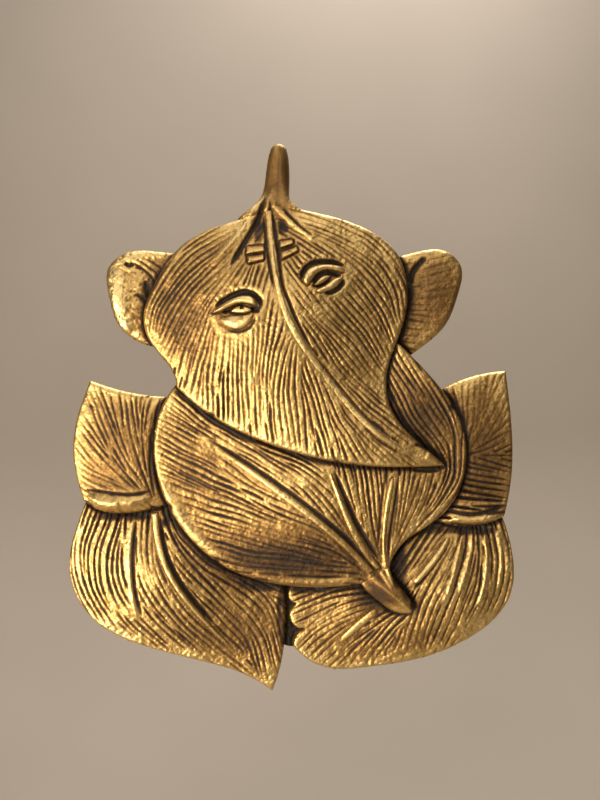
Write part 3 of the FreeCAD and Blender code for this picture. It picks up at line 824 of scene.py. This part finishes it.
def lash_cuts(field, line):
    """Short strokes that stand out from the crease over an eye."""
    chance = random.Random(SEED)
    spacing, start_gap, half_width = 1.8, 0.2, 0.16
    points = along(line, spacing)
    runs = np.gradient(points, axis=0)
    for (x, z), (run_x, run_z) in zip(points[1:-1], runs[1:-1]):
        length = math.hypot(run_x, run_z)
        out_x, out_z = -run_z / length, run_x / length
        start = x + start_gap * out_x, z + start_gap * out_z
        reach = chance.uniform(1.7, 3.0)
        lean = chance.uniform(-0.2, 0.5)
        end = x + reach * (out_x - lean * out_z), z + reach * (out_z + lean * out_x)
        depth = chance.uniform(0.3, 0.5)
        yield single(field, [start, end], half_width, depth)


def vein_cut(field, leaf, seed, spacing, depth, half_width, allowed):
    """All the engraved strokes of a leaf as one depth grid."""
    start = field.x[0, 0], field.z[0, 0]
    strokes = Strokes(leaf["veins"], allowed, *start, field.pitch, spacing, seed)
    lines = []
    for line in strokes.lines:
        points = along(line[::2] + line[-1:], POINT_STEP)
        taper = ends_taper(len(points), 6, 0.7)
        force = strokes.random.uniform(0.7, 1.2)
        ripple = wavering(points, 1.6, seed + 1)
        width = half_width * strokes.random.uniform(0.8, 1.35) * (0.55 + 0.45 * taper)
        lines.append((points, width * ripple, depth * force * taper * ripple))
    return carve(field, lines, field.used)


def seam_gap(field):
    """How far each open grid point is from the part of the leaf that other leaves cover."""
    cover = field.covered
    rim = cover.copy()
    for step, axis in ((1, 0), (-1, 0), (1, 1), (-1, 1)):
        rim &= np.roll(cover, step, axis)
    rim = cover & ~rim
    if not rim.any():
        return np.full(cover.shape, FAR)
    tree = point_tree(list(zip(field.x[rim], field.z[rim])))
    gap, _ = nearest(tree, field.x, field.z, field.used & ~cover)
    return gap


def open_front(field):
    """A leaf's front, carried a little way on under the leaves that cover it. Marks the covered points,
    and the hidden ones further in."""
    node = field.node
    others = cad_tree(*[name for name in LEAVES if name != node and LEAVES[name]["meets"] != node])
    over = np.zeros(field.x.shape)
    for i, j in zip(*np.nonzero(field.used)):
        over[i, j] = front_height(others, field.x[i, j], field.z[i, j]) or 0.0
    field.covered = (over > field.front + COVER_GAP) & field.used
    steps = int(TUCKED / field.pitch) + 1
    front, reached = spread(field.front, field.used & ~field.covered, steps)
    field.hidden = field.used & ~reached
    return np.where(field.hidden, field.front, front)


def cut_moats(field, details):
    """Grooves cut round the raised details, and the points where the leaf's strokes are clear of them."""
    cut = np.zeros(field.x.shape)
    clear = np.ones(field.x.shape, bool)
    for detail in details:
        near = near_line(field, detail.outline, 3)
        if near.any():
            gap, _ = nearest(point_tree(detail.outline), field.x, field.z, near)
            around = detail.moat * np.exp(-((gap / MOAT_WIDTH) ** 2))
            for spot in spots(field, detail.fades):
                around *= 1 - spot
            cut = np.maximum(cut, around)
            clear &= gap > CLEARANCE
    return cut, clear


def cast_surface(field, leaf, seed, calm):
    """Grain and swell that the casting adds to a leaf's front, and the pits that it leaves there."""
    x, z = field.x, field.z
    grain = (1 + leaf["sandy"] * (1 - calm)) * noise_layers(x, z, seed + 2, LEAF_GRAIN)
    grain += noise_layers(x, z, seed + 31, SAND_GRAIN) + noise_layers(x, z, seed + 6, SWELL)
    pits = np.clip(noise(x, z, 0.8, seed + 4) - 0.7, 0, 1) * PIT_DEPTH
    return leaf["rough"] * grain, leaf["rough"] * pits


def engrave_leaf(node, leaf, details, upper):
    """Scans a leaf's CAD node and carves its front. Each noise has its own seed, counted from seed."""
    field = Field(node, LEAF_PITCH)
    seed = 10 * list(LEAVES).index(node)
    base = open_front(field)
    if upper is not None:
        base = meet(field, base, upper, leaf["dip"])
    x, z = field.x, field.z

    ridges = [(single(field, *rim), rim[2]) for rim in leaf["rims"]]
    raised = strongest(field, (ridge for ridge, _ in ridges))
    on_ridge = strongest(field, (ridge / height for ridge, height in ridges))
    deep = strongest(field, (single(field, *cut) for cut in leaf["cuts"]))
    for line in leaf["lashes"]:
        deep = np.maximum(deep, strongest(field, lash_cuts(field, line)))
    # Painted shade: the shade ovals darken places where shadow falls, and sink them a little.
    shade = strongest(field, ovals(field, leaf["shade"]))
    shade *= np.clip(0.75 + 0.6 * noise(x, z, 2.4, seed + 9), 0, 1)
    flow = strongest(field, ovals(field, leaf["flow"]))
    calm = np.ones(x.shape)
    for oval in ovals(field, leaf["calm"]):
        calm *= 1 - 0.85 * oval

    moat, clear = cut_moats(field, details)
    allowed = clear & field.used & (on_ridge < 0.5) & (deep < 0.25)
    gap = seam_gap(field)
    veins = vein_cut(field, leaf, seed, leaf["spacing"], leaf["depth"], STROKE_WIDTH, allowed)
    hairs = vein_cut(field, leaf, seed + 5, HAIR_SPACING, leaf["hair"], HAIR_WIDTH, allowed)
    patchy = np.clip(0.85 + 0.45 * noise(x, z, 11.0, seed + 8), 0.4, 1.05)
    veins *= patchy + 0.6 * np.exp(-((gap / 5) ** 2))
    veins = np.maximum(veins, hairs) * calm * (1 - 0.8 * on_ridge)

    # Along the seam where another leaf covers this one: a sunk groove with dark patina and painted shadow
    # from the leaf above.
    seam_width = 1.2 + 0.5 * noise(x, z, 4.0, seed + 7)
    seam = np.exp(-((gap / seam_width) ** 2)) * (1 - flow)
    edge_drop = 0.85 * leaf["roll"] * (1 - rounded(field, leaf["roll"])) * (1 - flow)
    grain, pits = cast_surface(field, leaf, seed, calm)
    height = base + raised + grain - pits - veins - deep - moat - edge_drop
    height -= SEAM_DEPTH * seam + SHADE_DEPTH * shade
    height = np.maximum(height, field.back + THINNEST_WALL)
    field.height = np.where(field.hidden, field.front - HIDDEN_GAP, height)
    field.groove = np.clip(veins / FULL_STROKE + pits / FULL_PIT, 0, 1)
    field.dark = np.clip(np.maximum.reduce([seam, moat / FULL_MOAT, deep / FULL_CUT, shade]), 0, 1)
    field.worn = on_ridge
    return field


def rounded(field, width):
    """How far a quarter-round edge has risen at each point: 0 at the outline, 1 from width inwards."""
    share = np.clip(field.inset / width, 0, 1)
    return np.sqrt(1 - (1 - share) ** 2)


def meet(field, base, upper, dip):
    """Brings a stalk's front to the edge of the leaf that it grows from, and dips it under the leaf."""
    reach, most = 5.0, 3.0
    gap, index = nearest(upper.outline_tree, field.x, field.z, field.used)
    i, j = upper.cell_of(upper.outline[:, 0], upper.outline[:, 1])
    front = upper.front
    edge_height = np.maximum.reduce([front[i, j], front[i + 1, j], front[i, j + 1], front[i + 1, j + 1]])
    share = np.exp(-((gap / reach) ** 2))
    met = base + np.clip(edge_height[index] - dip - base, -most, most) * share
    inside = upper.inside[upper.cell_of(field.x, field.z)]
    field.back = np.where(inside & (field.back > most), field.back - most, field.back)
    return np.where(inside, met - gap, met)


def slat_tilt(field):
    """For each column of cells, 0 at the top of each run inside the outline to 1 at its bottom."""
    tilt = np.zeros(field.x.shape)
    for i in range(field.x.shape[0]):
        start = None
        for j in range(field.x.shape[1]):
            if field.used[i, j] and start is None:
                start = j
            if start is not None and not field.used[i, j]:
                tilt[i, start:j] = 1 - (np.arange(j - start) + 0.5) / (j - start)
                start = None
    return tilt


def shape_detail(node, roundness, height, sink, moat, fades):
    """Scans a raised detail's CAD node and rounds its top."""
    field = Field(node, DETAIL_PITCH)
    field.moat = moat
    field.fades = fades
    x, z = field.x, field.z
    rise = height + noise_layers(x, z, 71, DETAIL_GRAIN)
    field.dark = np.clip(0.45 - np.clip(field.inset / roundness, 0, 1), 0, 1)
    if node == "forehead_mark":
        tilt = slat_tilt(field)
        rise = rise * (0.1 + tilt)
        # Painted shade on the upper part of each slat, which faces away from the light.
        field.dark = np.maximum(field.dark, 0.55 * (1 - tilt))
    edge_height = 0.3
    field.height = field.back - edge_height + (rise + edge_height) * rounded(field, roundness)
    for spot in spots(field, fades):
        field.height -= (height + 0.5) * spot
    field.groove = np.clip(noise(x, z, 0.9, 74) - 0.5, 0, 1)
    if node in PUPILS:
        pupil = single(field, *PUPILS[node])
        field.height -= pupil
        field.dark = np.maximum(field.dark, np.clip(pupil / FULL_PUPIL, 0, 1))
    field.back = field.back - sink
    field.hidden = np.zeros(x.shape, bool)
    field.worn = np.ones(x.shape)
    return field


def height_map(fields):
    """The whole plaque's front as one grid, for finding where patina collects and painted shade falls."""
    low, high = (corner / MM for corner in CAD_BOX)
    margin = 20
    origin = (low.x - margin, low.z - margin)
    size = (high.x + margin - origin[0], high.z + margin - origin[1])
    grid = np.zeros((int(size[0] / MAP_PITCH), int(size[1] / MAP_PITCH)))
    for field in fields:
        shown = field.used & ~field.hidden
        i = ((field.x[shown] - origin[0]) / MAP_PITCH).astype(int)
        j = ((field.z[shown] - origin[1]) / MAP_PITCH).astype(int)
        np.maximum.at(grid, (i, j), field.height[shown])
    return grid, origin


def read_map(grid, origin, x, z):
    """The values of a height map's grid at points, blended from the four round each."""
    i = np.clip((x - origin[0]) / MAP_PITCH - 0.5, 0, grid.shape[0] - 1.01)
    j = np.clip((z - origin[1]) / MAP_PITCH - 0.5, 0, grid.shape[1] - 1.01)
    a, b = i - i.astype(int), j - j.astype(int)
    return blended(grid, i.astype(int), j.astype(int), a, b)


def coarse_blocks(field, can):
    """Which BLOCK x BLOCK groups of cells can be one face, from the points that allow it."""
    across = field.cells.shape[0] // BLOCK
    up = field.cells.shape[1] // BLOCK
    blocks = np.zeros((across + 2, up + 2), bool)
    for i in range(across):
        for j in range(up):
            a, b = i * BLOCK, j * BLOCK
            if field.cells[a : a + BLOCK, b : b + BLOCK].all():
                blocks[i + 1, j + 1] = can[a : a + BLOCK + 1, b : b + BLOCK + 1].all()
    return blocks


def sheet_faces(field, can, index):
    """Faces over one side of a leaf: single cells, and whole blocks where that is enough."""
    blocks = coarse_blocks(field, can)
    merged = np.zeros(field.cells.shape, bool)
    faces = []
    for bi, bj in zip(*np.nonzero(blocks)):
        a, b = (bi - 1) * BLOCK, (bj - 1) * BLOCK
        merged[a : a + BLOCK, b : b + BLOCK] = True
        sides = (
            ([(a + k, b) for k in range(BLOCK)], blocks[bi, bj - 1]),
            ([(a + BLOCK, b + k) for k in range(BLOCK)], blocks[bi + 1, bj]),
            ([(a + BLOCK - k, b + BLOCK) for k in range(BLOCK)], blocks[bi, bj + 1]),
            ([(a, b + BLOCK - k) for k in range(BLOCK)], blocks[bi - 1, bj]),
        )
        face = []
        for points, plain in sides:
            face.extend(index[p] for p in (points[:1] if plain else points))
        faces.append(face)
    i, j = np.nonzero(field.cells & ~merged)
    quads = np.stack([index[i, j], index[i + 1, j], index[i + 1, j + 1], index[i, j + 1]], axis=1)
    return faces + quads.tolist()


def border_edges(cells):
    """Directed edges (from, to) round the cells, as the front faces run."""
    padded = np.pad(cells, 1)
    sides = (
        (padded[1:-1, :-2], (0, 0), (1, 0)),
        (padded[2:, 1:-1], (1, 0), (1, 1)),
        (padded[1:-1, 2:], (1, 1), (0, 1)),
        (padded[:-2, 1:-1], (0, 1), (0, 0)),
    )
    edges = []
    for beyond, start, end in sides:
        for i, j in zip(*np.nonzero(cells & ~beyond)):
            edges.append(((i + start[0], j + start[1]), (i + end[0], j + end[1])))
    return edges


def grained_back(field, seed):
    """The height of a leaf's back, with casting grain on it away from the border."""
    smooth = blur(np.where(field.used, field.back, 0.0), 0.8)
    grain = np.abs(noise_layers(field.x, field.z, seed + 40, BACK_GRAIN))
    inner = field.used & (field.inset > 4 * field.pitch)
    return np.where(inner, smooth + grain, field.back)


def border_walls(field, front, back, start):
    """Faces round the border from the front's points to the back's, with the points between them, which
    are numbered from start, and the patina of those."""
    levels = 4
    columns = {}
    points = []
    patina_and_shade = []
    edges = border_edges(field.cells)
    for a, _ in edges:
        if a in columns:
            continue
        columns[a] = [front[a]]
        for level in range(1, levels):
            share = level / levels
            height = field.height[a] * (1 - share) + field.back[a] * share
            columns[a].append(start + len(points))
            points.append((field.x[a], -height, field.z[a]))
            patina_and_shade.append(WALL_PATINA[0] * (1 - share) + WALL_PATINA[1] * share)
        columns[a].append(back[a])
    faces = []
    for a, b in edges:
        for level in range(levels):
            top_side = [columns[b][level], columns[a][level]]
            faces.append(top_side + [columns[a][level + 1], columns[b][level + 1]])
    return faces, np.array(points).reshape(-1, 3), np.array(patina_and_shade)


def smooth_mesh(name, points, faces):
    mesh = bpy.data.meshes.new(name)
    mesh.from_pydata(points, [], faces)
    mesh.shade_smooth()
    return mesh


def add_object(name, data):
    """Puts a mesh, a lamp or a camera in the scene."""
    holder = bpy.data.objects.new(name, data)
    bpy.context.collection.objects.link(holder)
    return holder


def skin_mesh(field, patina_and_shade):
    """A closed mesh from a field: front, back, and walls between them round the border."""
    count = field.x.size
    front = np.arange(count).reshape(field.x.shape)
    back = front + count
    seed = len(field.node)
    back_height = grained_back(field, seed)
    steepness = np.abs(np.gradient(back_height)[0]) + np.abs(np.gradient(back_height)[1])
    walls, wall_points, wall_patina = border_walls(field, front, back, 2 * count)
    faces = sheet_faces(field, field.hidden & ~field.border, front)
    faces += [face[::-1] for face in sheet_faces(field, (steepness < 0.35) & ~field.border, back)]
    faces += walls

    top = np.stack([field.x, -field.height, field.z], axis=-1).reshape(-1, 3)
    bottom = np.stack([field.x, -back_height, field.z], axis=-1).reshape(-1, 3)
    points = np.vstack([top, bottom, wall_points])
    back_patina = BACK_PATINA + noise_layers(field.x, field.z, seed + 43, BACK_CLOUDS)
    shade = np.concatenate([patina_and_shade.ravel(), back_patina.ravel(), wall_patina])
    live = np.zeros(len(points), bool)
    for face in faces:
        live[face] = True
    renumber = np.cumsum(live) - 1
    faces = [[int(renumber[k]) for k in face] for face in faces]
    mesh = smooth_mesh(field.node + "_skin", (points[live] * MM).tolist(), faces)
    attribute = mesh.attributes.new("patina_and_shade", "FLOAT", "POINT")
    attribute.data.foreach_set("value", shade[live].astype(np.float32))
    mesh.set_sharp_from_angle(angle=math.radians(60))
    return mesh


def add_piece(mesh, name, node, body, material):
    """Adds a mesh that stands for a CAD node and moves with a body."""
    mesh.materials.append(material)
    piece = add_object(name, mesh)
    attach(piece, body)
    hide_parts(node)


class Nodes:
    """Short names for building a material's node tree."""

    def __init__(self, name):
        self.material = bpy.data.materials.new(name)
        self.material.use_nodes = True
        self.tree = self.material.node_tree
        self.shader = self.tree.nodes["Principled BSDF"]
        self.place = self.add("ShaderNodeTexCoord").outputs["Object"]

    def add(self, kind, **settings):
        node = self.tree.nodes.new(kind)
        for key, value in settings.items():
            setattr(node, key, value)
        return node

    def link(self, output, node, socket):
        self.tree.links.new(output, node.inputs[socket])

    def noise(self, scale, detail=3.0, roughness=0.55):
        """Noise from 0 to 1 with about scale lumps to the metre."""
        node = self.add("ShaderNodeTexNoise")
        node.inputs["Scale"].default_value = scale
        node.inputs["Detail"].default_value = detail
        node.inputs["Roughness"].default_value = roughness
        self.link(self.place, node, "Vector")
        return node.outputs["Fac"]

    def math(self, operation, *values, clamp=False):
        node = self.add("ShaderNodeMath", operation=operation, use_clamp=clamp)
        for socket, value in enumerate(values):
            if isinstance(value, (int, float)):
                node.inputs[socket].default_value = value
            else:
                self.link(value, node, socket)
        return node.outputs[0]

    def ramp(self, value, socket, stops):
        """Colours or grey levels over a value, each (place, level), for a socket of the shader."""
        node = self.add("ShaderNodeValToRGB")
        elements = node.color_ramp.elements
        while len(elements) < len(stops):
            elements.new(0.5)
        for element, (place, level) in zip(elements, stops):
            element.position = place
            element.color = (level, level, level, 1) if isinstance(level, float) else (*level, 1)
        self.link(value, node, "Fac")
        self.link(node.outputs["Color"], self.shader, socket)

    def bump(self, height, strength, distance):
        node = self.add("ShaderNodeBump")
        node.inputs["Strength"].default_value = strength
        node.inputs["Distance"].default_value = distance
        self.link(height, node, "Height")
        self.link(node.outputs["Normal"], self.shader, "Normal")


def antique_brass():
    """Cast brass with a gold wash worn bright on high ground, brown-black patina in the low, and painted
    shade where shadow falls.
    """
    nodes = Nodes("antique_brass")
    patina_and_shade = nodes.add("ShaderNodeAttribute", attribute_name="patina_and_shade").outputs["Fac"]
    cloud = nodes.math("MULTIPLY_ADD", nodes.noise(220.0), 0.22, -0.11)
    speck = nodes.math("MULTIPLY_ADD", nodes.noise(1500.0, 2.0), 0.16, -0.08)
    tone = nodes.math("ADD", nodes.math("ADD", patina_and_shade, cloud), speck, clamp=True)
    colors = [
        (0.0, (0.84, 0.63, 0.28)),
        (0.22, (0.62, 0.42, 0.155)),
        (0.45, (0.32, 0.185, 0.062)),
        (0.7, (0.10, 0.052, 0.019)),
        (1.0, (0.016, 0.009, 0.004)),
    ]
    nodes.ramp(tone, "Base Color", colors)
    nodes.ramp(tone, "Roughness", [(0.0, 0.37), (0.4, 0.44), (0.8, 0.62)])
    nodes.ramp(tone, "Metallic", [(0.0, 1.0), (0.5, 0.95), (0.95, 0.35)])
    nodes.bump(nodes.noise(1200.0, 4.0, 0.6), 0.6, 0.0003)
    return nodes.material


def bare_brass(name, cloud, colors, roughness, grain):
    """Brass without patina, whose colour and shine vary in clouds, with a fine grain."""
    nodes = Nodes(name)
    tone = nodes.noise(*cloud)
    nodes.ramp(tone, "Base Color", colors)
    nodes.ramp(tone, "Roughness", roughness)
    nodes.shader.inputs["Metallic"].default_value = 1.0
    size, strength, depth = grain
    nodes.bump(nodes.noise(size), strength, depth)
    return nodes.material


def lug_brass():
    """Unpolished brass, as cast, with fine sand grain."""
    colors = [(0.25, (0.16, 0.095, 0.04)), (0.7, (0.42, 0.28, 0.12))]
    return bare_brass("lug_brass", (400.0, 4.0), colors, [(0.2, 0.65), (0.8, 0.45)], (1800.0, 0.4, 0.0002))


def wire_brass():
    """Drawn brass wire, a little dull."""
    colors = [(0.3, (0.38, 0.25, 0.1)), (0.7, (0.66, 0.47, 0.21))]
    return bare_brass("wire_brass", (700.0, 3.0), colors, [(0.2, 0.5), (0.8, 0.3)], (2600.0, 0.25, 0.0001))


def pale_paint():
    """Plain pale floor and backdrop."""
    nodes = Nodes("pale_stage")
    colors = [(0.3, (0.34, 0.30, 0.255)), (0.7, (0.38, 0.335, 0.285))]
    nodes.ramp(nodes.noise(3.0, 2.0), "Base Color", colors)
    nodes.shader.inputs["Roughness"].default_value = 0.9
    return nodes.material


def painted_shade_patches(x, z):
    """Painted shade from the broad patches, added as extra patina at each point."""
    extra = np.zeros(x.shape)
    for (middle_x, middle_z), half_x, half_z, amount in PAINTED_SHADE_PATCHES:
        far = ((x - middle_x) / half_x) ** 2 + ((z - middle_z) / half_z) ** 2
        extra = np.maximum(extra, amount * np.exp(-far))
    return extra


def build_leaves(material):
    """All leaves and raised details as engraved skins on the plaque."""
    details = [shape_detail(node, *shape) for node, shape in DETAILS.items()]
    done = {}
    for node, leaf in LEAVES.items():
        done[node] = engrave_leaf(node, leaf, details, done.get(leaf["meets"]))
    fields = list(done.values()) + details
    grid, origin = height_map(fields)
    hollows = [(blur(grid, radius / MAP_PITCH) - grid, weight) for radius, weight in HOLLOWS]
    for field in fields:
        x, z = field.x, field.z
        # Patina and painted shade in hollows and at the foot of steps.
        hollow = sum(weight * read_map(depth, origin, x, z) for depth, weight in hollows)
        # Each point's value: real patina, plus painted shade from shaded places, seams, hollows and the
        # broad shade patches.
        patina_and_shade = OPEN_PATINA - WORN_OFF * field.worn + painted_shade_patches(x, z)
        patina_and_shade += GROOVE_PATINA * field.groove + DARK_PATINA_AND_SHADE * field.dark
        patina_and_shade += np.clip(hollow, LEAST_HOLLOW, MOST_HOLLOW)
        mesh = skin_mesh(field, np.clip(patina_and_shade, 0, 1))
        add_piece(mesh, field.node + "_cast", field.node, "plaque", material)


def build_ring(material):
    """The hanging ring: drawn wire bent round, with its ends closed by a bead of solder."""
    low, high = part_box("hanging_ring")
    middle = (low + high) / 2
    wire = (high.y - low.y) / 2
    radius = (high.x - low.x) / 2 - wire
    turns, sides = 160, 20
    joint_angle, bead_width = math.radians(250), 0.11
    bead_rise, wire_slack = 0.16, 0.03
    points = []
    faces = []
    for k in range(turns):
        turn = 2 * math.pi * k / turns
        gap = (turn - joint_angle + math.pi) % (2 * math.pi) - math.pi
        thickness = wire * (1 + bead_rise * math.exp(-((gap / bead_width) ** 2)) - wire_slack)
        next_k = (k + 1) % turns
        for m in range(sides):
            across = 2 * math.pi * m / sides
            out = radius + thickness * math.cos(across)
            y = middle.y + thickness * math.sin(across)
            points.append((middle.x + out * math.cos(turn), y, middle.z + out * math.sin(turn)))
            next_m = (m + 1) % sides
            corners = ((k, m), (k, next_m), (next_k, next_m), (next_k, m))
            faces.append([row * sides + place for row, place in corners])
    mesh = smooth_mesh("hanging_ring_wire", points, faces)
    add_piece(mesh, "hanging_ring_wire", "hanging_ring", "ring", material)


def finish_lug(material):
    """The lug keeps its CAD shape and takes a cast finish."""
    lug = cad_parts["hanger_lug"]
    lug.data.materials.clear()
    lug.data.materials.append(material)


def build_stage(material):
    """A floor that sweeps up into a backdrop well behind the plaque."""
    floor_z, wall_y, bend, half = -0.42, 0.75, 0.35, 5.0
    front_y, top_z, steps = -6.0, 2.0, 16
    profile = [(front_y, floor_z), (wall_y - bend, floor_z)]
    for k in range(1, steps + 1):
        angle = math.pi / 2 * k / steps
        profile.append((wall_y - bend + bend * math.sin(angle), floor_z + bend - bend * math.cos(angle)))
    profile.append((wall_y, top_z))
    points = [(side * half, y, z) for y, z in profile for side in (-1, 1)]
    faces = [(2 * k, 2 * k + 1, 2 * k + 3, 2 * k + 2) for k in range(len(profile) - 1)]
    mesh = smooth_mesh("backdrop", points, faces)
    mesh.materials.append(material)
    add_object("backdrop", mesh)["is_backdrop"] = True


def add_light(name, place, target, size, power, color):
    """A round lamp, size across, that shines at target."""
    light = bpy.data.lights.new(name, "AREA")
    light.shape = "DISK"
    light.size = size
    light.energy = power
    light.color = color
    holder = add_object(name, light)
    holder.location = place
    holder.rotation_euler = (Vector(target) - Vector(place)).to_track_quat("-Z", "Y").to_euler()


def light_scene():
    """A warm key light low on the left, soft fills, and light for the backdrop and the floor."""
    middle = (0, 0, -0.035)
    pale = (1.0, 0.95, 0.9)
    add_light("key", (-0.46, -0.44, -0.20), middle, 0.42, 5.3, (1.0, 0.88, 0.70))
    add_light("fill", (-0.05, -0.95, 0.30), middle, 0.7, 1.9, (1.0, 0.90, 0.76))
    add_light("back_fill", (0.15, 0.50, 0.80), middle, 0.6, 7.0, pale)
    add_light("backdrop_wash", (0.0, 0.15, 1.2), (0, 0.75, -0.1), 1.4, 10.0, pale)
    add_light("floor_wash", (0.0, -2.4, 1.7), (0, -2.6, -0.4), 2.6, 22.0, pale)
    world = bpy.data.worlds.new("studio")
    world.use_nodes = True
    sky = world.node_tree.nodes["Background"]
    sky.inputs["Color"].default_value = (0.85, 0.66, 0.48, 1)
    sky.inputs["Strength"].default_value = 0.17
    bpy.context.scene.world = world


def grade():
    """Plain display colours, which keep the brass yellow where it shines."""
    bpy.context.scene.view_settings.view_transform = "Standard"


def add_camera():
    """Straight at the face, from 300 mm off the wall plane, where the view is 296 mm high."""
    camera = bpy.data.cameras.new("camera")
    distance, view_height = 0.300, 0.296
    middle_x, middle_z = 0.0037, -0.0296
    camera.sensor_width = 36.0
    camera.lens = camera.sensor_width * distance / view_height
    camera.clip_start = 0.01
    holder = add_object("camera", camera)
    holder.location = (middle_x, -distance, middle_z)
    holder.rotation_euler = (math.radians(90), 0, 0)
    bpy.context.scene.camera = holder


add_camera()
grade()
build_stage(pale_paint())
light_scene()
build_leaves(antique_brass())
build_ring(wire_brass())
finish_lug(lug_brass())

boxes = {"cad": CAD_BOX, "visual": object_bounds()}
{name: [list(corner) for corner in box] for name, box in boxes.items()}
